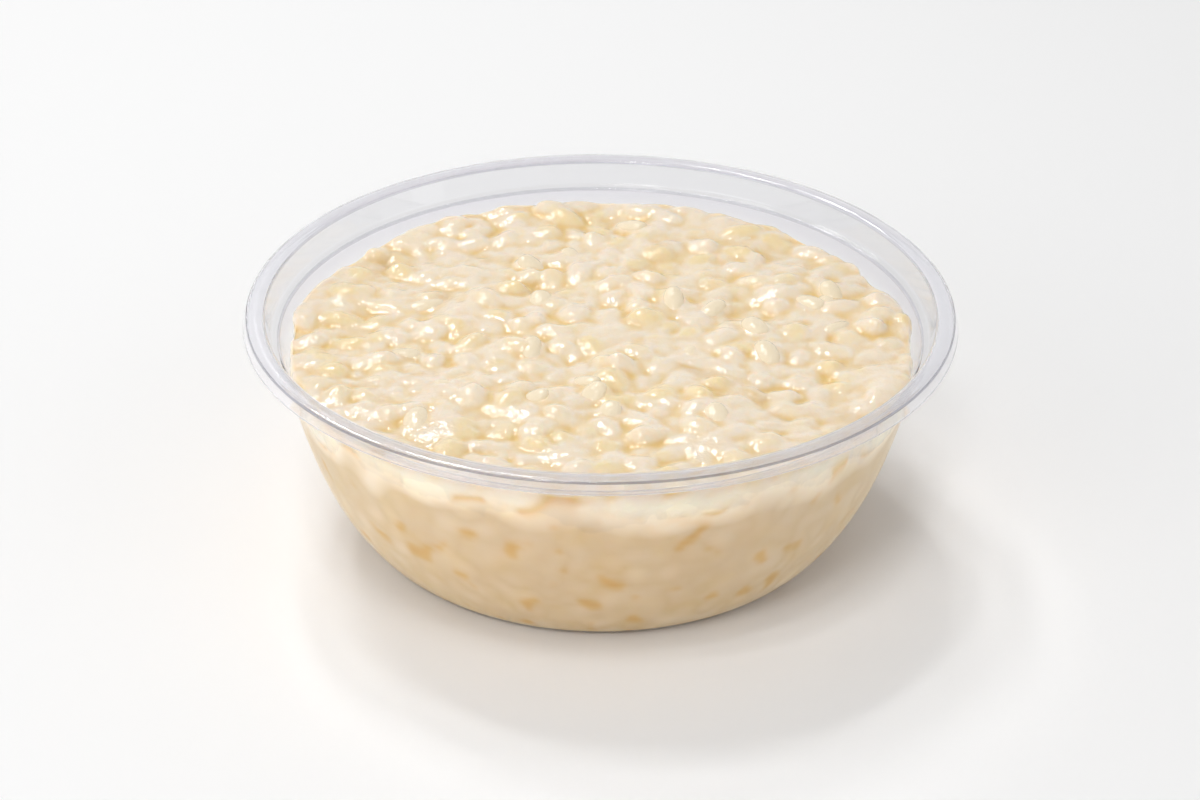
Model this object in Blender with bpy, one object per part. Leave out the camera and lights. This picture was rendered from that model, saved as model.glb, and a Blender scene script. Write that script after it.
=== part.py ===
"""Rice pudding in a clear single-use bowl, two solids: the thin bowl, and the pudding that fills it.

Metres, +Z up, with the origin at the centre of the bowl's flat base. The bowl is one sheet of even
thickness. From the outside in it runs up a short flared skirt, over the flange, down the seat that
a lid would snap into, across a narrow shelf and down the curved wall to the base.
"""

import math
import random

import bmesh
import bpy
from mathutils import Vector
from mathutils.geometry import interpolate_bezier

# Bowl. Radii and curves are those of the sheet's upper and inner skin, which a lid and the food touch.
HEIGHT = 0.0495
SHEET = 0.0005
SKIRT_RADIUS = 0.0710
SKIRT_DROP = 0.0024
FLANGE_OUTER_RADIUS = 0.0702
FLANGE_INNER_RADIUS = 0.0667
FLANGE_OUTER_ROUND = 0.0008
FLANGE_INNER_ROUND = 0.0005
SEAT_DEPTH = 0.0054
SHELF_OUTER_RADIUS = 0.0655
SHELF_INNER_RADIUS = 0.0639
SHELF_ROUND = 0.0004
WALL_TOP_DRAFT = math.radians(12.5)
WALL_TOP_REACH = 0.0145
WALL_FOOT_SLOPE = math.radians(44.0)
WALL_FOOT_REACH = 0.0152
BASE_RADIUS = 0.0429
BASE_ROUND = 0.0051
WALL_STEPS = 7
BOWL_SEGMENTS = 72

# Pudding. Its level is the lowest height of its top, between the lumps.
GAP = 0.0003
LEVEL = HEIGHT - 0.0088
CROWN = 0.0004
TOP_RINGS = 18
LUMP_COUNT = 210
LUMP_LENGTHS = (0.0070, 0.0125)
LUMP_WIDTHS = (0.0045, 0.0075)
LUMP_HEIGHTS = (0.0008, 0.0020)
LUMP_SEED = 5

PLASTIC_COLOUR = (0.80, 0.80, 0.83)
PUDDING_COLOUR = (0.86, 0.73, 0.52)


def clear_scene():
    for item in list(bpy.data.objects):
        bpy.data.objects.remove(item, do_unlink=True)


def new_material(name, colour, roughness, alpha=1.0):
    material = bpy.data.materials.new(name)
    material.use_nodes = True
    material.diffuse_color = (*colour, alpha)
    shader = material.node_tree.nodes["Principled BSDF"]
    shader.inputs["Base Color"].default_value = (*colour, 1.0)
    shader.inputs["Roughness"].default_value = roughness
    shader.inputs["Metallic"].default_value = 0.0
    shader.inputs["Alpha"].default_value = alpha
    return material


def new_object(name, mesh, material):
    """An object of this name from a finished bmesh, shaded smooth."""
    data = bpy.data.meshes.new(name)
    mesh.to_mesh(data)
    mesh.free()
    data.shade_smooth()
    data.materials.append(material)
    piece = bpy.data.objects.new(name, data)
    bpy.context.collection.objects.link(piece)
    return piece


def rounded_corner(before, corner, after, radius, steps):
    """Points of the arc that rounds off a corner of an outline, tangent to both of its sides."""
    back = (before - corner).normalized()
    ahead = (after - corner).normalized()
    half_angle = back.angle(ahead) / 2
    centre = corner + (back + ahead).normalized() * radius / math.sin(half_angle)
    first = (corner + back * radius / math.tan(half_angle) - centre).normalized()
    last = (corner + ahead * radius / math.tan(half_angle) - centre).normalized()
    return [centre + radius * first.slerp(last, step / steps) for step in range(steps + 1)]


def offset_outline(outline, distance):
    """The outline moved to its left, as it runs, by a distance, with its corners mitred."""
    normals = []
    for start, end in zip(outline, outline[1:]):
        run = (end - start).normalized()
        normals.append(Vector((-run.y, run.x)))
    moved = []
    for point, before, after in zip(outline, normals[:1] + normals, normals + normals[-1:]):
        mitre = (before + after).normalized()
        moved.append(point + mitre * distance / mitre.dot(after))
    return moved


def wall_outline():
    """The curved wall, the round and the flat base as (radius, height), from shelf to axis."""
    top = Vector((SHELF_INNER_RADIUS, HEIGHT - SEAT_DEPTH))
    round_centre = Vector((BASE_RADIUS, SHEET + BASE_ROUND))
    foot_normal = Vector((math.sin(WALL_FOOT_SLOPE), -math.cos(WALL_FOOT_SLOPE)))
    foot_tangent = Vector((math.cos(WALL_FOOT_SLOPE), math.sin(WALL_FOOT_SLOPE)))
    top_tangent = Vector((math.sin(WALL_TOP_DRAFT), math.cos(WALL_TOP_DRAFT)))
    foot = round_centre + BASE_ROUND * foot_normal
    curve = interpolate_bezier(top, top - WALL_TOP_REACH * top_tangent,
                               foot + WALL_FOOT_REACH * foot_tangent, foot, WALL_STEPS + 1)
    outline = [point.to_2d() for point in curve]
    for angle in (WALL_FOOT_SLOPE / 2, 0.0):
        outline.append(round_centre + BASE_ROUND * Vector((math.sin(angle), -math.cos(angle))))
    outline.append(Vector((0.0, SHEET)))
    return outline


def inner_skin():
    """The bowl's whole upper and inner skin as (radius, height), from the skirt to the axis."""
    skirt_edge = Vector((SKIRT_RADIUS, HEIGHT - SKIRT_DROP))
    flange_outer = Vector((FLANGE_OUTER_RADIUS, HEIGHT))
    flange_inner = Vector((FLANGE_INNER_RADIUS, HEIGHT))
    shelf_outer = Vector((SHELF_OUTER_RADIUS, HEIGHT - SEAT_DEPTH))
    shelf_inner, *wall = wall_outline()
    return [
        skirt_edge,
        *rounded_corner(skirt_edge, flange_outer, flange_inner, FLANGE_OUTER_ROUND, 2),
        *rounded_corner(flange_outer, flange_inner, shelf_outer, FLANGE_INNER_ROUND, 1),
        *rounded_corner(flange_inner, shelf_outer, shelf_inner, SHELF_ROUND, 1),
        *rounded_corner(shelf_outer, shelf_inner, wall[0], SHELF_ROUND, 1),
        *wall,
    ]


def build_bowl(material):
    """The sheet's closed section, its inner skin and its outer one, turned round +Z."""
    skin = inner_skin()
    section = skin[::-1] + offset_outline(skin, SHEET)
    mesh = bmesh.new()
    points = [mesh.verts.new((radius, 0.0, height)) for radius, height in section]
    edges = [mesh.edges.new(pair) for pair in zip(points, points[1:])]
    bmesh.ops.spin(mesh, geom=points + edges, axis=(0, 0, 1), angle=math.tau,
                   steps=BOWL_SEGMENTS, use_merge=True)
    bmesh.ops.remove_doubles(mesh, verts=mesh.verts, dist=SHEET / 100)
    bmesh.ops.recalc_face_normals(mesh, faces=mesh.faces)
    return new_object("bowl", mesh, material)


def make_lumps():
    """Seeded oval lumps: centre, long direction, half length, half width and height of each."""
    rng = random.Random(LUMP_SEED)
    lumps = []
    for _ in range(LUMP_COUNT):
        distance = SHELF_INNER_RADIUS * math.sqrt(rng.random())
        bearing = rng.uniform(0.0, math.tau)
        turn = rng.uniform(0.0, math.pi)
        centre = Vector((distance * math.cos(bearing), distance * math.sin(bearing)))
        direction = Vector((math.cos(turn), math.sin(turn)))
        half_length = rng.uniform(*LUMP_LENGTHS) / 2
        half_width = rng.uniform(*LUMP_WIDTHS) / 2
        lumps.append((centre, direction, half_length, half_width, rng.uniform(*LUMP_HEIGHTS)))
    return lumps


def top_height(place, lumps):
    """Height of the pudding at a place: its level, a slight crown and the highest lump there."""
    lift = 0.0
    for centre, direction, half_length, half_width, height in lumps:
        along = (place - centre).dot(direction) / half_length
        across = (place - centre).cross(direction) / half_width
        inside = 1.0 - along ** 2 - across ** 2
        if inside > 0.0:
            lift = max(lift, height * math.sqrt(inside))
    return LEVEL + CROWN * (1.0 - (place.length / SHELF_INNER_RADIUS) ** 2) + lift


def radius_at(height, outline):
    """Radius of an outline that runs down to the base, at a height."""
    upper, lower = next(pair for pair in zip(outline, outline[1:]) if height >= pair[1].y)
    return lower.x + (upper.x - lower.x) * (height - lower.y) / (upper.y - lower.y)


def triangulated_disc(mesh, radius, rings):
    """Even triangles over a disc: a subdivided hexagon, with its rings drawn out to circles."""
    bmesh.ops.create_circle(mesh, cap_ends=True, cap_tris=True, segments=6, radius=1.0)
    bmesh.ops.subdivide_edges(mesh, edges=mesh.edges[:], cuts=rings - 1, use_grid_fill=True)
    side_turns = [math.radians(60 * side) for side in range(6)]
    side_normals = [Vector((math.cos(turn), math.sin(turn), 0.0)) for turn in side_turns]
    for point in mesh.verts:
        share = max(point.co.dot(normal) for normal in side_normals) / math.cos(math.radians(30))
        point.co = point.co.normalized() * share * radius


def extruded_ring(mesh, ring):
    made = bmesh.ops.extrude_edge_only(mesh, edges=ring)["geom"]
    return [item for item in made if isinstance(item, bmesh.types.BMEdge) and item.is_boundary]


def place_ring(ring, radius, height):
    """Moves the ends of these edges to a circle round +Z."""
    for point in {point for edge in ring for point in edge.verts}:
        point.co.xy = point.co.xy.normalized() * radius
        point.co.z = height


def build_pudding(material):
    """A lumpy disc whose edge is drawn down along the bowl's wall to a flat underside."""
    side = offset_outline(wall_outline(), -GAP)
    lumps = make_lumps()
    mesh = bmesh.new()
    triangulated_disc(mesh, radius_at(LEVEL, side), TOP_RINGS)
    for point in mesh.verts:
        point.co.z = top_height(point.co.xy, lumps)
        if point.is_boundary:
            point.co.xy = point.co.xy.normalized() * radius_at(point.co.z, side)
    ring = [edge for edge in mesh.edges if edge.is_boundary]
    for radius, height in side[:-1]:
        if height < LEVEL - GAP:
            ring = extruded_ring(mesh, ring)
            place_ring(ring, radius, height)
    bmesh.ops.contextual_create(mesh, geom=ring)
    bmesh.ops.recalc_face_normals(mesh, faces=mesh.faces)
    return new_object("rice_pudding", mesh, material)


clear_scene()
build_bowl(new_material("clear_plastic", PLASTIC_COLOUR, roughness=0.08, alpha=0.35))
build_pudding(new_material("cream_pudding", PUDDING_COLOUR, roughness=0.30))
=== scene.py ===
import math

import bmesh
import bpy
import numpy as np
from mathutils import Matrix, Vector
from mathutils.geometry import interpolate_bezier


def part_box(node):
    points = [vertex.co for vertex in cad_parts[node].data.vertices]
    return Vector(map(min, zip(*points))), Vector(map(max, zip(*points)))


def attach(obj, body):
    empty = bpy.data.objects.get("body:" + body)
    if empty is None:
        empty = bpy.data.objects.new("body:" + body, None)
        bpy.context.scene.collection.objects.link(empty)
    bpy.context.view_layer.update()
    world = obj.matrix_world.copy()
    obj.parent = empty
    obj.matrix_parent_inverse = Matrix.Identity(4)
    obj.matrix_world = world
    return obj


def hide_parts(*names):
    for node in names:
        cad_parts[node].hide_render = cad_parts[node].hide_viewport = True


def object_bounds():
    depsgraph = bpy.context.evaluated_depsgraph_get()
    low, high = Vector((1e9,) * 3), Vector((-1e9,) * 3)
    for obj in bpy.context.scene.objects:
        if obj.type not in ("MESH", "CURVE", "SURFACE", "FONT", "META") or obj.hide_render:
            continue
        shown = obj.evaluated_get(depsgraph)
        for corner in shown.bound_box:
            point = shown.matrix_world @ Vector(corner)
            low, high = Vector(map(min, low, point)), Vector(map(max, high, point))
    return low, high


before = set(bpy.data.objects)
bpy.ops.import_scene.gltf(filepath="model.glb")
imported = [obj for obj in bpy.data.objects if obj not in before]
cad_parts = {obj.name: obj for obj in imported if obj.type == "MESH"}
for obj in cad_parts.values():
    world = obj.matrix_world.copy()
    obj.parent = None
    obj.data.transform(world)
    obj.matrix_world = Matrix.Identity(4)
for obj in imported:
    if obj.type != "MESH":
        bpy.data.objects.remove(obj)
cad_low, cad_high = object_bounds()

MM = 0.001

# The bowl's size comes from the frame. The rest of its section repeats the CAD's, in metres.
_, bowl_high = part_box("bowl")
RIM = bowl_high.x
HEIGHT = bowl_high.z
SHEET = 0.5 * MM
SKIRT_DROP = 2.4 * MM
FLANGE_OUTER = RIM - 0.8 * MM
FLANGE_INNER = RIM - 4.3 * MM
FLANGE_CROWN = 0.12 * MM
FLANGE_OUTER_ROUND = 0.9 * MM
FLANGE_CROWN_ROUND = 6.0 * MM
FLANGE_INNER_ROUND = 1.0 * MM
SEAT_DEPTH = 5.4 * MM
SHELF_OUTER = RIM - 5.5 * MM
SHELF_OUTER_ROUND = 0.7 * MM
SHELF_INNER = RIM - 7.1 * MM
SHELF_INNER_ROUND = 0.75 * MM
WALL_TOP_DRAFT = math.radians(12.5)
WALL_TOP_REACH = 14.5 * MM
WALL_FOOT_SLOPE = math.radians(44.0)
WALL_FOOT_REACH = 15.2 * MM
BASE_RADIUS = 42.9 * MM
BASE_ROUND = 5.1 * MM
WALL_POINTS = 36
ROUND_STEPS = 8
CROWN_STEPS = 8
EDGE_STEPS = 6
BOWL_SEGMENTS = 384

# Outline of the pudding, in metres. LEVEL is the mean height of its top inside the bent edge.
LEVEL = HEIGHT - 7.9 * MM
EDGE_WIDTH = 2.4 * MM
EDGE_DROP = 11.0 * MM
BEND_POINTS = 40
BEND_END_GAP = 0.2 * MM
INTO_WALL = 0.25 * MM
OVERFILL = 0.6 * MM
WALL_BLEND = 0.7 * MM
TOP_RINGS = 145
AROUND = 6 * TOP_RINGS
SIDE_STEP = 1.3 * MM

# The bowl's plastics in the order of its material slots, and where one gives way to the next.
# The corner strips at the flange's inner edge and the shelf's inner corner, and the lip at the flange's
# outer rounding, are dark plastics: painted shade.
CLEAR, SEAT, FLANGE, SKIRT, LIT_SKIRT_EDGE, SHADED_CORNER, SHADED_LIP = range(7)
FLANGE_DEPTH = 1.2 * MM
FLANGE_CORNER = (FLANGE_INNER - 0.35 * MM, FLANGE_INNER + 0.2 * MM)
LIP_START = FLANGE_OUTER - 0.15 * MM
SKIRT_EDGE_DROP = SKIRT_DROP - 0.45 * MM
SHELF_CORNER_END = SHELF_INNER + 0.45 * MM
SEAT_END_DROP = SEAT_DEPTH + 0.6 * MM
# Painted shade: the clear wall greys from this height up, over this fade.
WALL_SHADE_START = LEVEL - 3 * MM
WALL_SHADE_FADE = 4 * MM

# Fields of relief: the size of a cell, and how far a relief and its tones are smoothed.
CELL = 0.3 * MM
TOP_SMOOTHING = 0.5 * MM
SIDE_SMOOTHING = 0.4 * MM
TONE_SMOOTHING = 0.5 * MM
SIDE_TONE_SMOOTHING = 0.8 * MM
MARK_SMOOTHING = 0.45 * MM

# Swells of the top and the fine unevenness of its skin, as heights and widths. The relief keeps
# RELIEF_SHARE of its height, and FLAT_SHARE of that near the edge. All fades out at the edge.
SWELLS = ((0.6 * MM, 5 * MM), (0.3 * MM, 2.2 * MM))
SKIN = (0.08 * MM, 0.8 * MM)
RELIEF_SHARE = 0.74
FLAT_FROM = 14 * MM
FLAT_TO = 9 * MM
FLAT_SHARE = 0.7
EDGE_FADE = 4 * MM

# Rice. A centre is a height from LEVEL on the top. On the sides it is a depth inside the wall,
# as a negative number. Cream lies FILM thick on a grain and widens its outline by COAT.
TOP_SIDE = 2 * 74 * MM
TOP_GRAINS = 720
TOP_CENTRES = (-2.4 * MM, -0.3 * MM)
SIDE_WIDTH = math.tau * 55 * MM
SIDE_HEIGHT = 70 * MM
SIDE_GRAINS = 1250
SIDE_CENTRES = (-1.7 * MM, 0.0)
SIDE_FLOOR = -2.5 * MM
GRAIN_LENGTHS = (6.4 * MM, 9.0 * MM)
GRAIN_WIDTHS = (4.0 * MM, 5.4 * MM)
GRAIN_DEPTHS = (1.2 * MM, 1.8 * MM)
GRAIN_TILT = 0.3
PLACES_TRIED = 8
FILM = 0.4 * MM
COAT = 0.45 * MM
BLEND = 1.4 * MM
DOME_POWER = 0.6
TONE_MEAN = 0.15
TONE_SPREAD = 0.6
TONE_MOST = 0.9

# Bare grains: some of the higher ones. Their film is negative, so they stick out of the cream.
BARE_PERCENTILE = 40
BARE_SHARE = 0.14
BARE_FILM = -0.12 * MM
BARE_REACH = 54 * MM
GRAIN_AROUND = 12
GRAIN_ALONG = 10
GRAIN_WAIST_POWER = 0.7
GRAIN_BOW = 0.25 * MM
BOW_MIDDLE = 0.4

# Where the wall presses the pudding, in depths below LEVEL, and the hollows that grains leave
# in it there. Painted shade goes into the creases of the top, the hollows, a fringe along the
# pressed band and the whole pressed band, more towards its bottom; painted light goes onto the
# shoulder of the edge.
WAVE = 1.2 * MM
WAVE_WIDTH = 3.0 * MM
BLOTCH_WIDTH = 1.6 * MM
CONTACT_START = 1.9 * MM
CONTACT_FADE = 7.5 * MM
PRESSED_FROM = 0.4
FRINGE_DEPTH = 4.8 * MM
FRINGE_WIDTH = 1.5 * MM
FRINGE_SHADE_STRENGTH = 0.9
SHOULDER_START = 0.4 * MM
SHOULDER_FADE = 2 * MM
SHOULDER_LIGHT_STRENGTH = 0.9
SIDE_ROW_START = 10 * MM
HOLLOW_PERCENTILE = 7
HOLLOW_FADE = 0.3 * MM
HOLLOW_STRENGTH = 0.9
HOLLOW_DEPTH = 0.15 * MM
SIDE_TONE_STRENGTH = 0.4
CREASE_WIDTH = 1.6 * MM
CREASE_DEPTH = 0.38 * MM
SHADE_TOP = LEVEL - 8 * MM
SHADE_AT_TOP = 0.8
BLOTCH_STRENGTH = 0.1
FRINGE_COVER = 0.8

# Colours of the pudding and the plastics, and the light, the mottling and the bumps of the cream.
CREAM = (0.90, 0.79, 0.67)
PRESSED_CREAM = (0.90, 0.79, 0.66)
RICE = (0.90, 0.79, 0.61)
YELLOW = (0.90, 0.74, 0.47)
# Painted shade: the darker, yellower colour of the top's creases.
CREASE_SHADE = (0.85, 0.62, 0.28)
# Painted shade: the darker, yellower colour inside the hollows of the pressed sides.
HOLLOW_SHADE = (0.85, 0.58, 0.27)
# Painted shade: the colour the pressed sides are darkened towards, more so low down.
CONTACT_SHADE = (0.64, 0.53, 0.38)
# Painted light: the paler colour of the edge's shoulder above the pressed band.
SHOULDER_LIGHT = (0.96, 0.85, 0.68)
# Painted shade: the grey that the clear wall turns towards near its top.
PLASTIC_SHADE = (0.84, 0.83, 0.865)
PLASTIC_SHADOW = (0.98, 0.98, 0.98)
RICE_SHADOW = (0.95, 0.93, 0.88)
CREAM_REFRACTION = 1.4
LIGHT_SPREAD = (1.0, 0.85, 0.65)
MOTTLE_SCALE = 350
MOTTLE_DETAIL = 3
MOTTLE_STRENGTH = 0.5
BUMP_SCALE = 1100
BUMP_DETAIL = 1.0
BUMP_DISTANCE = 0.22 * MM

# The stage, in metres.
FLOOR_SIZE = 6.0
LAMP_AIM = Vector((0, 0, 0.02))
RING_AIM = Vector((0, 0, 0.04))
CAMERA_ELEVATION = math.radians(29.2)
CAMERA_ROLL = math.radians(0.4)
CAMERA_DISTANCE = 4.5 * (cad_high.x - cad_low.x)
CAMERA_AIM = (cad_low + cad_high) / 2 + Vector((0, 0, 2.2 * MM))
CAMERA_LENS = 94.7
CAMERA_SENSOR = 36

rng = np.random.default_rng(11)


# ---------------------------------------------------------------- outlines

def fillet(before, corner, after, radius, steps=6):
    """Points of the arc that rounds off a corner of an outline."""
    back = (before - corner).normalized()
    ahead = (after - corner).normalized()
    half_angle = back.angle(ahead) / 2
    centre = corner + (back + ahead).normalized() * radius / math.sin(half_angle)
    first = (corner + back * radius / math.tan(half_angle) - centre).normalized()
    last = (corner + ahead * radius / math.tan(half_angle) - centre).normalized()
    return [centre + radius * first.slerp(last, step / steps) for step in range(steps + 1)]


def offset_outline(outline, distance):
    """The outline moved to its left, as it runs, with mitred corners."""
    normals = []
    for start, end in zip(outline, outline[1:]):
        run = (end - start).normalized()
        normals.append(Vector((-run.y, run.x)))
    moved = []
    for point, before, after in zip(outline, normals[:1] + normals, normals + normals[-1:]):
        mitre = (before + after).normalized()
        moved.append(point + mitre * distance / mitre.dot(after))
    return moved


def wall_outline():
    """Inner skin of the curved wall, the round and the flat base, from the shelf to the axis."""
    top = Vector((SHELF_INNER, HEIGHT - SEAT_DEPTH))
    round_centre = Vector((BASE_RADIUS, SHEET + BASE_ROUND))
    foot_normal = Vector((math.sin(WALL_FOOT_SLOPE), -math.cos(WALL_FOOT_SLOPE)))
    foot_tangent = Vector((math.cos(WALL_FOOT_SLOPE), math.sin(WALL_FOOT_SLOPE)))
    top_tangent = Vector((math.sin(WALL_TOP_DRAFT), math.cos(WALL_TOP_DRAFT)))
    foot = round_centre + BASE_ROUND * foot_normal
    curve = interpolate_bezier(top, top - WALL_TOP_REACH * top_tangent,
                               foot + WALL_FOOT_REACH * foot_tangent, foot, WALL_POINTS)
    outline = [point.to_2d() for point in curve]
    for step in range(1, ROUND_STEPS + 1):
        angle = WALL_FOOT_SLOPE * (1 - step / ROUND_STEPS)
        outline.append(round_centre + BASE_ROUND * Vector((math.sin(angle), -math.cos(angle))))
    outline.append(Vector((0.0, SHEET)))
    return outline


def bowl_skin():
    """Upper and inner skin of the whole sheet, from the skirt's edge to the axis."""
    skirt_edge = Vector((RIM, HEIGHT - SKIRT_DROP))
    flange_outer = Vector((FLANGE_OUTER, HEIGHT - FLANGE_CROWN))
    crown = Vector(((FLANGE_OUTER + FLANGE_INNER) / 2, HEIGHT))
    flange_inner = Vector((FLANGE_INNER, HEIGHT - FLANGE_CROWN))
    shelf_outer = Vector((SHELF_OUTER, HEIGHT - SEAT_DEPTH))
    wall = wall_outline()
    shelf_inner = wall[0]
    return [
        skirt_edge,
        *fillet(skirt_edge, flange_outer, crown, FLANGE_OUTER_ROUND),
        *fillet(flange_outer, crown, flange_inner, FLANGE_CROWN_ROUND, CROWN_STEPS),
        *fillet(crown, flange_inner, shelf_outer, FLANGE_INNER_ROUND),
        *fillet(flange_inner, shelf_outer, shelf_inner, SHELF_OUTER_ROUND),
        *fillet(shelf_outer, shelf_inner, wall[2], SHELF_INNER_ROUND),
        *wall[2:],
    ]


WALL = np.array([tuple(point) for point in wall_outline()])


def wall_radius(height):
    """Inner radius of the bowl at a height, for a number or an array."""
    return np.interp(height, WALL[::-1, 1][1:], WALL[::-1, 0][1:])


def pudding_path():
    """Outline of the pudding from its middle over the bent edge and down the wall, as radii and
    heights, and the place in it where the part below the bend starts."""
    bend = np.linspace(0, math.pi / 2, BEND_POINTS)
    height = LEVEL - EDGE_DROP * (1 - np.cos(bend))
    top = np.column_stack([wall_radius(height) + OVERFILL - EDGE_WIDTH * (1 - np.sin(bend)), height])
    below = WALL[(WALL[:, 1] < height[-1] - BEND_END_GAP)][:-1] + (OVERFILL, 0)
    return np.vstack([[[0, LEVEL]], top, below]), len(top)


# ---------------------------------------------------------------- fields of relief

def ramp(value, start, length):
    """0 up to the start, and from there evenly up to 1 over the length."""
    return np.clip((value - start) / length, 0, 1)


def blurred(field, length):
    """A field on a grid smoothed over a length in metres. It wraps round."""
    along = np.fft.fftfreq(field.shape[0], CELL)
    across = np.fft.rfftfreq(field.shape[1], CELL)
    keep = np.exp(-2 * (math.pi * length) ** 2 * (along[:, None] ** 2 + across[None, :] ** 2))
    return np.fft.irfft2(np.fft.rfft2(field) * keep, field.shape)


def soft_noise(shape, length):
    """Random hills about a length in metres wide, of mean 0 and deviation 1."""
    field = blurred(rng.standard_normal(shape), length)
    return (field - field.mean()) / field.std()


def soft_max(a, b, blend):
    """The higher of two surfaces, with the crease between them filled."""
    near = np.maximum(blend - np.abs(a - b), 0) / blend
    return np.maximum(a, b) + near ** 2 * blend / 4


def sample(field, x, y):
    """Bilinear reading of a field on a grid that starts at 0 and wraps round."""
    column = x / CELL
    row = y / CELL
    c = np.floor(column).astype(int)
    r = np.floor(row).astype(int)
    u = column - c
    v = row - r
    rows, columns = field.shape
    below = field[r % rows, c % columns] * (1 - u) + field[r % rows, (c + 1) % columns] * u
    above = field[(r + 1) % rows, c % columns] * (1 - u) + field[(r + 1) % rows, (c + 1) % columns] * u
    return below * (1 - v) + above * v


def scatter_grains(count, width, height, centres):
    """Places of rice grains just under a surface, kept apart. Each row has the grain's x, y, turn,
    tilt, half length, half width, half depth and the height of its centre."""
    places = np.zeros((0, 2))
    for _ in range(count):
        tries = rng.random((PLACES_TRIED, 2)) * (width, height)
        if len(places):
            gaps = np.linalg.norm(tries[:, None] - places[None], axis=-1).min(1)
            tries = tries[gaps.argmax()][None]
        places = np.vstack([places, tries[:1]])
    return np.column_stack([
        places,
        rng.uniform(0, math.pi, count),
        rng.normal(0, GRAIN_TILT, count),
        rng.uniform(*GRAIN_LENGTHS, count) / 2,
        rng.uniform(*GRAIN_WIDTHS, count) / 2,
        rng.uniform(*GRAIN_DEPTHS, count),
        rng.uniform(*centres, count),
    ])


def coat_grains(surface, grains, films):
    """Raises a height field over the grains, each under its film of cream. Also returns a field of
    the yellowness of the grain that is on top at each place."""
    rows, columns = surface.shape
    tone = np.zeros(surface.shape)
    for (x, y, turn, tilt, half_length, half_width, depth, centre), film in zip(grains, films):
        long_half = half_length + COAT
        wide_half = half_width + COAT
        deep_half = depth + film
        reach = long_half + BLEND
        i = np.arange(int((x - reach) // CELL), int((x + reach) // CELL) + 2)
        j = np.arange(int((y - reach) // CELL), int((y + reach) // CELL) + 2)
        gx, gy = np.meshgrid(i * CELL - x, j * CELL - y)
        along = gx * math.cos(turn) + gy * math.sin(turn)
        across = -gx * math.sin(turn) + gy * math.cos(turn)
        shadow = (long_half * math.cos(tilt)) ** 2 + (deep_half * math.sin(tilt)) ** 2
        slant = (long_half ** 2 - deep_half ** 2) * math.sin(tilt) * math.cos(tilt) / shadow
        inside = 1 - (across / wide_half) ** 2 - along ** 2 / shadow
        crown = long_half * deep_half / math.sqrt(shadow)
        lift = np.where(inside > 0, np.maximum(inside, 0) ** DOME_POWER, 2 * np.minimum(inside, 0))
        dome = centre + slant * along + crown * lift
        place = np.ix_(j % rows, i % columns)
        yellowness = np.clip(rng.normal(TONE_MEAN, TONE_SPREAD), 0, TONE_MOST)
        tone[place] = np.where(dome > surface[place], yellowness, tone[place])
        surface[place] = soft_max(surface[place], dome, BLEND)
    return surface, blurred(tone, TONE_SMOOTHING)


def top_fields():
    """Relief and yellowness of the top, its grains, and which of them are bare."""
    grid = (int(TOP_SIDE / CELL), int(TOP_SIDE / CELL))
    grains = scatter_grains(TOP_GRAINS, TOP_SIDE, TOP_SIDE, TOP_CENTRES)
    swell = sum(height * soft_noise(grid, width) for height, width in SWELLS)
    cells = (grains[:, :2] / CELL).astype(int)
    grains[:, 7] += swell[cells[:, 1] % grid[0], cells[:, 0] % grid[1]]
    high = grains[:, 7] > np.percentile(grains[:, 7], BARE_PERCENTILE)
    bare = high & (rng.random(TOP_GRAINS) < BARE_SHARE)
    relief, tone = coat_grains(swell.copy(), grains, np.where(bare, BARE_FILM, FILM))
    relief = blurred(relief, TOP_SMOOTHING)
    skin_height, skin_width = SKIN
    relief = RELIEF_SHARE * (relief - relief.mean()) + skin_height * soft_noise(grid, skin_width)
    return relief, tone, grains, bare


def side_fields():
    """Hollows and yellowness of the sides, and the noise of their waves and of their blotches."""
    grid = (int(SIDE_HEIGHT / CELL), int(SIDE_WIDTH / CELL))
    grains = scatter_grains(SIDE_GRAINS, grid[1] * CELL, grid[0] * CELL, SIDE_CENTRES)
    pressed, tone = coat_grains(np.full(grid, SIDE_FLOOR), grains, np.full(SIDE_GRAINS, FILM))
    pressed = blurred(pressed, SIDE_SMOOTHING)
    hollows = ramp(np.percentile(pressed, HOLLOW_PERCENTILE) - pressed, 0, HOLLOW_FADE)
    wave = soft_noise(grid, WAVE_WIDTH)
    blotch = soft_noise(grid, BLOTCH_WIDTH)
    return blurred(hollows, MARK_SMOOTHING), blurred(tone, SIDE_TONE_SMOOTHING), wave, blotch


# ---------------------------------------------------------------- meshes

def new_piece(name, vertices, faces, *materials):
    """A smooth mesh object with its materials, which rides on the root body."""
    data = bpy.data.meshes.new(name)
    data.from_pydata(vertices.tolist(), [], faces)
    data.shade_smooth()
    for material in materials:
        data.materials.append(material)
    piece = bpy.data.objects.new(name, data)
    bpy.context.collection.objects.link(piece)
    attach(piece, "root")
    return piece


def set_attribute(piece, name, values):
    """Gives each vertex of a piece a number that its materials read."""
    piece.data.attributes.new(name, "FLOAT", "POINT").data.foreach_set("value", values)


def plastic_at(radius, drop):
    """Slot of the bowl's plastic at a radius and a drop below the top."""
    # Painted shade: dark strips at the flange's inner corner and outer lip, and at the shelf's inner
    # corner.
    if radius > FLANGE_CORNER[0] and drop < FLANGE_DEPTH:
        if radius < FLANGE_CORNER[1]:
            return SHADED_CORNER
        return FLANGE if radius < LIP_START else SHADED_LIP
    if radius > FLANGE_OUTER:
        # Painted highlight: a pale strip along the skirt's lower edge.
        if drop < SKIRT_EDGE_DROP:
            return SKIRT
        return LIT_SKIRT_EDGE if drop < SKIRT_DROP else FLANGE
    if drop < SEAT_END_DROP:
        return SHADED_CORNER if drop > SEAT_DEPTH and radius < SHELF_CORNER_END else SEAT
    return CLEAR


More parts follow.
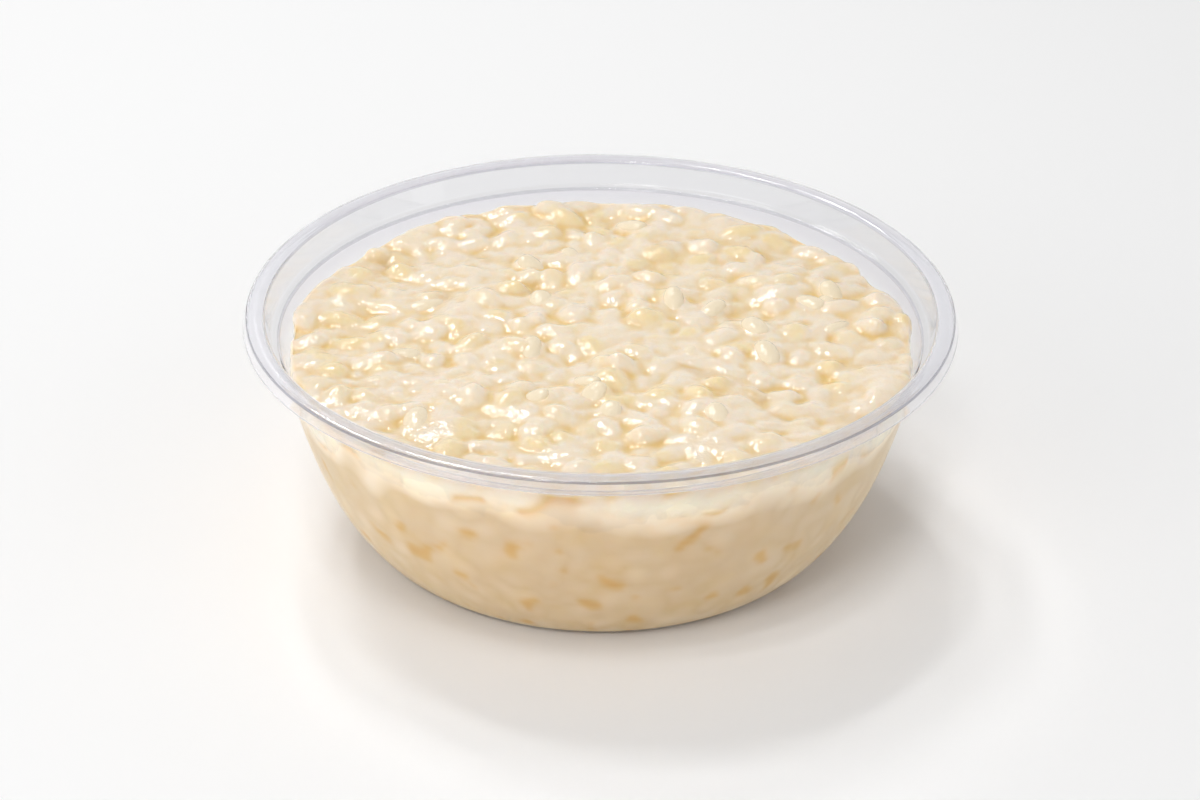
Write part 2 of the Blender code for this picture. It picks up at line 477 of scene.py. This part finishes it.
def build_bowl(*plastics):
    """The sheet's closed section turned round +Z, with a plastic of its own for each stretch."""
    skin = bowl_skin()
    outer = offset_outline(skin, SHEET)
    edge = (skin[0] + outer[0]) / 2
    arm = skin[0] - edge
    edge_round = [edge + Matrix.Rotation(-math.pi * step / EDGE_STEPS, 2) @ arm
                  for step in range(1, EDGE_STEPS)]
    section = np.array([tuple(point) for point in skin[::-1] + edge_round + outer])
    turns = np.arange(BOWL_SEGMENTS) * math.tau / BOWL_SEGMENTS
    ring = section[1:-1]
    vertices = np.stack([ring[None, :, 0] * np.cos(turns)[:, None],
                         ring[None, :, 0] * np.sin(turns)[:, None],
                         np.broadcast_to(ring[:, 1], (BOWL_SEGMENTS, len(ring)))], -1).reshape(-1, 3)
    vertices = np.vstack([vertices, [[0, 0, section[0, 1]], [0, 0, section[-1, 1]]]])
    count = len(ring)
    here = np.arange(BOWL_SEGMENTS)[:, None] * count + np.arange(count - 1)[None, :]
    there = np.roll(here, -1, 0)
    faces = np.stack([here, here + 1, there + 1, there], -1).reshape(-1, 4).tolist()
    inner_end = len(vertices) - 2
    for k in range(BOWL_SEGMENTS):
        after = (k + 1) % BOWL_SEGMENTS
        faces.append([inner_end, k * count, after * count])
        faces.append([inner_end + 1, after * count + count - 1, k * count + count - 1])
    piece = new_piece("clear_bowl", vertices, faces, *plastics)
    for face in piece.data.polygons:
        face.material_index = plastic_at(face.center.xy.length, HEIGHT - face.center.z)
    # Painted shade: the clear wall turns greyer towards its top.
    set_attribute(piece, "wall_shade", ramp(vertices[:, 2], WALL_SHADE_START, WALL_SHADE_FADE))
    return piece


def disc_faces(rings):
    """Triangles of a disc whose ring k has 6 k points, with one point in the middle."""
    faces = []
    for k in range(1, rings + 1):
        inner = 3 * (k - 1) * (k - 2) + 1 if k > 1 else 0
        outer = 3 * k * (k - 1) + 1
        for side in range(6):
            step = np.arange(k)
            a = outer + (side * k + step) % (6 * k)
            b = outer + (side * k + step + 1) % (6 * k)
            c = inner + (side * (k - 1) + step) % max(6 * (k - 1), 1)
            faces.append(np.column_stack([a, b, c]))
            faces.append(np.column_stack([c, b, np.roll(c, -1)])[:-1])
    return np.vstack(faces)


def pudding_grid(span, length):
    """Each vertex's distance along the outline and its turn, and the faces. Rings reach out to the
    span, level rows go on to the whole length, and the last vertex is the middle of the base."""
    ring_of = np.concatenate([[0], *[np.full(6 * k, k) for k in range(1, TOP_RINGS + 1)]])
    step_of = np.concatenate([[0], *[np.arange(6 * k) for k in range(1, TOP_RINGS + 1)]])
    ring_turn = step_of / np.maximum(6 * ring_of, 1) * math.tau
    rows = int((length - span) / SIDE_STEP)
    row_along = span + (length - span) * np.arange(1, rows + 1) / rows
    row_turn = np.arange(AROUND) / AROUND * math.tau
    along = np.concatenate([span * ring_of / TOP_RINGS, np.repeat(row_along, AROUND), [0]])
    turn = np.concatenate([ring_turn, np.tile(row_turn, rows), [0]])
    start = len(ring_of) - AROUND + np.arange(rows)[:, None] * AROUND
    here = start + np.arange(AROUND)[None, :]
    there = np.roll(here, -1, 1)
    quads = np.stack([here, here + AROUND, there + AROUND, there], -1).reshape(-1, 4)
    middle = len(along) - 1
    last = middle - AROUND + np.arange(AROUND)
    base = np.column_stack([last, np.full(AROUND, middle), np.roll(last, -1)])
    return along, turn, disc_faces(TOP_RINGS).tolist() + quads.tolist() + base.tolist()


def lifted(path, length, along, lift):
    """Height of each vertex on the outline, then its height and its gap to the wall once it is
    lifted along the outline's normal. The wall stops what it meets."""
    radius, height = (np.interp(along, length, path[:, axis]) for axis in (0, 1))
    slope_r, slope_z = (np.interp(along, length, np.gradient(path[:, axis], length)) for axis in (0, 1))
    lifted_height = height + slope_r * lift
    gap = wall_radius(lifted_height) - (radius - slope_z * lift)
    return height, lifted_height, soft_max(gap, np.full_like(gap, -INTO_WALL), WALL_BLEND)


def contact_bands(depth, path_depth, blotch):
    """How firmly the wall presses, a yellow fringe of painted shade over that, and painted light
    on the shoulder of the edge.
    """
    contact = ramp(depth, CONTACT_START, CONTACT_FADE)
    # Painted shade: a darker, yellower fringe along the top of the pressed band, mottled by the blotches.
    fringe = np.exp(-((depth - FRINGE_DEPTH) / FRINGE_WIDTH) ** 2) * np.clip(blotch, 0, 1)
    # Painted light: the shoulder of the edge, above the pressed band, is made paler, less so under the
    # fringe.
    shoulder = ramp(path_depth, SHOULDER_START, SHOULDER_FADE) * (1 - contact)
    return contact, fringe, SHOULDER_LIGHT_STRENGTH * shoulder * (1 - FRINGE_COVER * fringe)


def build_pudding(material, pressed_material, relief, tone, sides):
    """The filling in one closed mesh: a relief of grains on top, and sides pressed into the wall."""
    path, bend_end = pudding_path()
    length = np.concatenate([[0], np.cumsum(np.linalg.norm(np.diff(path, axis=0), axis=1))])
    span = length[bend_end]
    along, turn, faces = pudding_grid(span, length[-1])

    # The relief fades out over the edge, after it has got lower on the way there.
    middle = relief.shape[0] * CELL / 2
    top_place = (middle + along * np.cos(turn), middle + along * np.sin(turn))
    on_top = ramp(span - along, 0, EDGE_FADE)
    share = np.interp(along, [span - FLAT_FROM, span - FLAT_TO], [1.0, FLAT_SHARE])
    path_height, height, gap = lifted(path, length, along, sample(relief, *top_place) * on_top * share)

    # The band that the wall presses starts along a wave, and the grains leave hollows in it.
    side_place = (turn / math.tau * sides[0].shape[1] * CELL, along - span + SIDE_ROW_START)
    hollows, side_tone, wave, blotch = [sample(field, *side_place) for field in sides]
    depth = LEVEL - (height - WAVE * wave)
    contact, fringe, shoulder = contact_bands(depth, LEVEL - path_height, blotch)
    # The hollows are dented into the side and also given painted shade.
    pits_and_shade = HOLLOW_STRENGTH * hollows * contact

    radius = wall_radius(height) - (gap + HOLLOW_DEPTH * pits_and_shade)
    vertices = np.column_stack([radius * np.cos(turn), radius * np.sin(turn), height])
    vertices[-1] = (0, 0, SHEET - INTO_WALL)
    vertices[-1 - AROUND:-1, 2] = SHEET - INTO_WALL
    piece = new_piece("pudding_core", vertices, faces, material, pressed_material)

    # Painted shade: where the relief lies below its smoothed self, in its creases, the cream gets a darker,
    # yellower colour.
    creases = ramp(blurred(relief, CREASE_WIDTH) - relief, 0, CREASE_DEPTH)
    creases = sample(creases, *top_place) * on_top * (1 - contact)
    yellow = sample(tone, *top_place) * (1 - contact) + SIDE_TONE_STRENGTH * side_tone * contact
    # Painted shade: the pressed sides darken towards the bottom, mottled at random by the blotches. Times
    # the wall's press, it goes to the vertices as contact.
    shade_and_mottle = np.interp(height, [0, SHADE_TOP], [1, SHADE_AT_TOP]) * (1 - BLOTCH_STRENGTH * np.abs(blotch))
    # The painted shade of creases, hollows and fringe, as one number for each vertex.
    set_attribute(piece, "painted_shade", np.maximum(creases, np.maximum(pits_and_shade, FRINGE_SHADE_STRENGTH * fringe)))
    set_attribute(piece, "yellow", yellow)
    set_attribute(piece, "contact", contact * shade_and_mottle)
    # Painted light: how much paler the shoulder of the edge is made.
    set_attribute(piece, "shoulder", shoulder)
    for face in piece.data.polygons:
        face.material_index = int(contact[face.vertices[0]] > PRESSED_FROM)
    return piece


def grain_template(around, along):
    """A plump grain with blunt ends, 1 m from its middle to each side, and its faces."""
    ends = np.linspace(0, math.pi, along + 1)[1:-1]
    turns = np.arange(around) / around * math.tau
    x = -np.cos(ends)
    waist = np.sin(ends) ** GRAIN_WAIST_POWER
    ring = np.stack([np.broadcast_to(x[:, None], (len(x), around)),
                     waist[:, None] * np.cos(turns), waist[:, None] * np.sin(turns)], -1)
    vertices = np.vstack([ring.reshape(-1, 3), [[-1, 0, 0], [1, 0, 0]]])
    count = around * len(x)
    here = np.arange(len(x) - 1)[:, None] * around + np.arange(around)[None, :]
    there = np.roll(here, -1, 1)
    faces = np.stack([here, there, there + around, here + around], -1).reshape(-1, 4).tolist()
    for k in range(around):
        after = (k + 1) % around
        faces.append([count, after, k])
        faces.append([count + 1, count - around + k, count - around + after])
    return vertices, faces


def build_grains(material, grains):
    """The bare grains in one mesh, each bowed a little to one side."""
    template, template_faces = grain_template(GRAIN_AROUND, GRAIN_ALONG)
    vertices = []
    faces = []
    for x, y, turn, tilt, half_length, half_width, depth, centre in grains:
        bow = rng.normal(0, GRAIN_BOW)
        local = template * (half_length, half_width, depth)
        local[:, 1] += bow * (template[:, 0] ** 2 - BOW_MIDDLE)
        place = Matrix.Translation((x - TOP_SIDE / 2, y - TOP_SIDE / 2, LEVEL + centre))
        place = place @ Matrix.Rotation(turn, 4, "Z") @ Matrix.Rotation(-tilt, 4, "Y")
        place = np.array(place)
        faces.extend([[index + len(vertices) * len(template) for index in face] for face in template_faces])
        vertices.append(local @ place[:3, :3].T + place[:3, 3])
    return new_piece("rice_grains", np.vstack(vertices), faces, material)


# ---------------------------------------------------------------- materials

def new_material(name):
    """A material with its nodes, its links and its Principled shader."""
    material = bpy.data.materials.new(name)
    material.use_nodes = True
    nodes = material.node_tree.nodes
    return material, nodes, material.node_tree.links, nodes["Principled BSDF"]


def attribute(nodes, name):
    """Output of a node that reads a number of the vertices."""
    node = nodes.new("ShaderNodeAttribute")
    node.attribute_name = name
    return node.outputs["Fac"]


def noise(nodes, links, scale, detail):
    """Output of a noise fixed to the piece, with its scale per metre."""
    place = nodes.new("ShaderNodeTexCoord")
    node = nodes.new("ShaderNodeTexNoise")
    node.inputs["Scale"].default_value = scale
    node.inputs["Detail"].default_value = detail
    links.new(place.outputs["Object"], node.inputs["Vector"])
    return node.outputs["Fac"]


def mixed_colour(nodes, links, blend, base, other, amount):
    """Output of a node that lays a colour over the base, which is a colour or an output itself."""
    mix = nodes.new("ShaderNodeMix")
    mix.data_type = "RGBA"
    mix.blend_type = blend
    if isinstance(base, tuple):
        mix.inputs[6].default_value = (*base, 1)
    else:
        links.new(base, mix.inputs[6])
    mix.inputs[7].default_value = (*other, 1)
    links.new(amount, mix.inputs["Factor"])
    return mix.outputs[2]


def let_lamps_through(nodes, links, shader, colour):
    """Shadow rays pass, tinted, as they would through something clear."""
    clear = nodes.new("ShaderNodeBsdfTransparent")
    clear.inputs["Color"].default_value = (*colour, 1)
    rays = nodes.new("ShaderNodeLightPath")
    mix = nodes.new("ShaderNodeMixShader")
    links.new(rays.outputs["Is Shadow Ray"], mix.inputs["Fac"])
    links.new(shader.outputs["BSDF"], mix.inputs[1])
    links.new(clear.outputs["BSDF"], mix.inputs[2])
    links.new(mix.outputs["Shader"], nodes["Material Output"].inputs["Surface"])


def plastic(name, colour, transmission, roughness, refraction, gloss, wall_shade=None):
    """Clear sheet that bends what is behind it and lets lamps through to the food. Given a colour
    of painted shade, it turns to that colour as far as the vertices' painted shade says."""
    material, nodes, links, shader = new_material(name)
    if wall_shade:
        shaded_colour = mixed_colour(nodes, links, "MIX", colour, wall_shade, attribute(nodes, "wall_shade"))
        links.new(shaded_colour, shader.inputs["Base Color"])
    else:
        shader.inputs["Base Color"].default_value = (*colour, 1)
    shader.inputs["Roughness"].default_value = roughness
    shader.inputs["IOR"].default_value = refraction
    shader.inputs["Transmission Weight"].default_value = transmission
    shader.inputs["Coat Weight"].default_value = gloss
    shader.inputs["Coat Roughness"].default_value = 0.03
    let_lamps_through(nodes, links, shader, PLASTIC_SHADOW)
    return material


def pudding_material(name, pale, painted_shade, bump_strength, softness, roughness, shine):
    """Cream: yellower over some grains, darker and yellower with painted shade in its creases, its
    hollows and where the wall presses it, and paler with painted light on its shoulder. Light
    spreads in it over its softness, in metres, or not at all at 0."""
    material, nodes, links, shader = new_material(name)
    amount = nodes.new("ShaderNodeMath")
    amount.operation = "MULTIPLY_ADD"
    amount.use_clamp = True
    links.new(noise(nodes, links, MOTTLE_SCALE, MOTTLE_DETAIL), amount.inputs[0])
    amount.inputs[1].default_value = MOTTLE_STRENGTH
    links.new(attribute(nodes, "yellow"), amount.inputs[2])
    colour = mixed_colour(nodes, links, "MIX", pale, YELLOW, amount.outputs[0])
    # Painted shade in creases, hollows and fringe, then painted shade where the wall presses, then painted
    # light on the shoulder.
    colour = mixed_colour(nodes, links, "MIX", colour, painted_shade, attribute(nodes, "painted_shade"))
    colour = mixed_colour(nodes, links, "MULTIPLY", colour, CONTACT_SHADE, attribute(nodes, "contact"))
    colour = mixed_colour(nodes, links, "MIX", colour, SHOULDER_LIGHT, attribute(nodes, "shoulder"))
    links.new(colour, shader.inputs["Base Color"])
    shader.inputs["Roughness"].default_value = roughness
    shader.inputs["Specular IOR Level"].default_value = shine
    shader.inputs["IOR"].default_value = CREAM_REFRACTION
    shader.inputs["Subsurface Weight"].default_value = 1.0 if softness else 0.0
    shader.inputs["Subsurface Radius"].default_value = LIGHT_SPREAD
    shader.inputs["Subsurface Scale"].default_value = softness
    bump = nodes.new("ShaderNodeBump")
    bump.inputs["Strength"].default_value = bump_strength
    bump.inputs["Distance"].default_value = BUMP_DISTANCE
    links.new(noise(nodes, links, BUMP_SCALE, BUMP_DETAIL), bump.inputs["Height"])
    links.new(bump.outputs["Normal"], shader.inputs["Normal"])
    return material


def rice_material():
    """Bare rice, which doesn't darken the cream around it with shadows."""
    material = pudding_material("rice", RICE, CREASE_SHADE, 0.6, 0.0, 0.1, 0.5)
    nodes = material.node_tree.nodes
    let_lamps_through(nodes, material.node_tree.links, nodes["Principled BSDF"], RICE_SHADOW)
    return material


# ---------------------------------------------------------------- stage

def build_floor():
    """A plain pale floor."""
    mesh = bmesh.new()
    bmesh.ops.create_grid(mesh, x_segments=1, y_segments=1, size=FLOOR_SIZE)
    data = bpy.data.meshes.new("floor")
    mesh.to_mesh(data)
    mesh.free()
    material, _, _, shader = new_material("floor")
    shader.inputs["Base Color"].default_value = (0.94, 0.94, 0.94, 1)
    shader.inputs["Roughness"].default_value = 0.9
    data.materials.append(material)
    floor = bpy.data.objects.new("floor", data)
    bpy.context.collection.objects.link(floor)


def add_lamp(name, shape, size, power, place, turn):
    """An area light of a shape, size and power at a place, facing down its turn."""
    lamp = bpy.data.lights.new(name, "AREA")
    lamp.shape = shape
    lamp.size = size
    lamp.energy = power
    light = bpy.data.objects.new(name, lamp)
    light.rotation_mode = "QUATERNION"
    light.rotation_quaternion = turn
    light.location = place
    bpy.context.collection.objects.link(light)


def add_soft_light(name, place, size, power):
    """A large round light that faces the bowl."""
    turn = (Vector(place) - LAMP_AIM).to_track_quat("Z", "Y")
    add_lamp(name, "DISK", size, power, place, turn)


def add_light_ring(place, reach, count, side, radiance):
    """Small square lights in a circle, which draw clusters of glints on wet lumps."""
    turn = (Vector(place) - RING_AIM).to_track_quat("Z", "Y")
    for step in range(count):
        angle = math.tau * step / count
        spot = Vector(place) + turn @ Vector((reach * math.cos(angle), reach * math.sin(angle), 0))
        add_lamp("ring_light", "SQUARE", side, radiance * math.pi * side ** 2, spot, turn)


def build_camera():
    """A long lens in front of the bowl that looks down on it."""
    lens = bpy.data.cameras.new("camera")
    lens.lens = CAMERA_LENS
    lens.sensor_width = CAMERA_SENSOR
    camera = bpy.data.objects.new("camera", lens)
    back = Vector((0, -math.cos(CAMERA_ELEVATION), math.sin(CAMERA_ELEVATION)))
    roll = Matrix.Rotation(CAMERA_ROLL, 3, "Z").to_quaternion()
    camera.location = CAMERA_AIM + back * CAMERA_DISTANCE
    camera.rotation_mode = "QUATERNION"
    camera.rotation_quaternion = back.to_track_quat("Z", "Y") @ roll
    bpy.context.collection.objects.link(camera)
    bpy.context.scene.camera = camera


def build_world():
    """White below and round the horizon, and grey overhead."""
    world = bpy.data.worlds.new("studio")
    world.use_nodes = True
    nodes = world.node_tree.nodes
    links = world.node_tree.links
    direction = nodes.new("ShaderNodeTexCoord")
    parts = nodes.new("ShaderNodeSeparateXYZ")
    links.new(direction.outputs["Generated"], parts.inputs[0])
    shades = nodes.new("ShaderNodeValToRGB")
    shades.color_ramp.elements[0].position = 0.25
    shades.color_ramp.elements[0].color = (0.99, 0.99, 0.99, 1)
    shades.color_ramp.elements[1].position = 0.7
    shades.color_ramp.elements[1].color = (0.24, 0.24, 0.24, 1)
    links.new(parts.outputs["Z"], shades.inputs["Fac"])
    links.new(shades.outputs["Color"], nodes["Background"].inputs["Color"])
    bpy.context.scene.world = world
    bpy.context.scene.view_settings.view_transform = "Standard"


# ---------------------------------------------------------------- the scene

relief, tone, grains, bare = top_fields()
sides = side_fields()

# Each plastic's colour, transmission, roughness, refraction and gloss, in the order of the slots.
plastics = [
    # The clear wall greys towards its top: painted shade.
    plastic("clear_plastic", (0.94, 0.94, 0.95), 1.0, 0.03, 1.01, 0.3, PLASTIC_SHADE),
    plastic("seat_plastic", (0.86, 0.86, 0.875), 1.0, 0.03, 1.01, 0.7),
    plastic("rim_plastic", (0.83, 0.83, 0.87), 0.85, 0.12, 1.25, 1.0),
    plastic("skirt_plastic", (0.94, 0.93, 0.95), 0.9, 0.08, 1.1, 1.0),
    # Painted highlight: a pale, nearly opaque strip along the skirt's lower edge.
    plastic("edge_highlight_plastic", (0.92, 0.92, 0.95), 0.2, 0.2, 1.3, 1.0),
    # Painted shade: a dark line at the flange's inner corner and the shelf's inner corner.
    plastic("corner_shade_plastic", (0.60, 0.60, 0.65), 0.8, 0.08, 1.1, 0.6),
    # Painted shade: a dark line along the flange's outer lip.
    plastic("lip_shade_plastic", (0.34, 0.34, 0.39), 0.8, 0.08, 1.1, 0.6),
]
cream = pudding_material("cream_pudding", CREAM, CREASE_SHADE, 0.45, 1.0 * MM, 0.06, 0.65)
pressed_cream = pudding_material("pressed_pudding", PRESSED_CREAM, HOLLOW_SHADE, 0.05, 1.4 * MM, 0.8, 0.0)
rice = rice_material()

bowl = build_bowl(*plastics)
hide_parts("bowl")

core = build_pudding(cream, pressed_cream, relief, tone, sides)
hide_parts("rice_pudding")

inside = np.hypot(*(grains[:, :2] - TOP_SIDE / 2).T) < BARE_REACH
loose = build_grains(rice, grains[bare & inside])

build_floor()

# Rings: place, reach, count, side and radiance of the lights. Soft lights: place, size and power.
add_light_ring((-0.24, 0.50, 0.79), 0.15, 5, 0.085, 27.5)
add_light_ring((-0.10, -0.30, 0.92), 0.09, 4, 0.065, 22.0)
add_light_ring((-0.20, -0.66, 0.66), 0.06, 3, 0.060, 28.0)
add_soft_light("front", (-0.30, -0.54, 0.74), 0.4, 0.7)
add_soft_light("left_fill", (-0.80, -0.70, 0.45), 0.6, 1.6)
add_soft_light("right_fill", (1.10, -0.50, 0.50), 0.9, 1.0)
build_world()
build_camera()
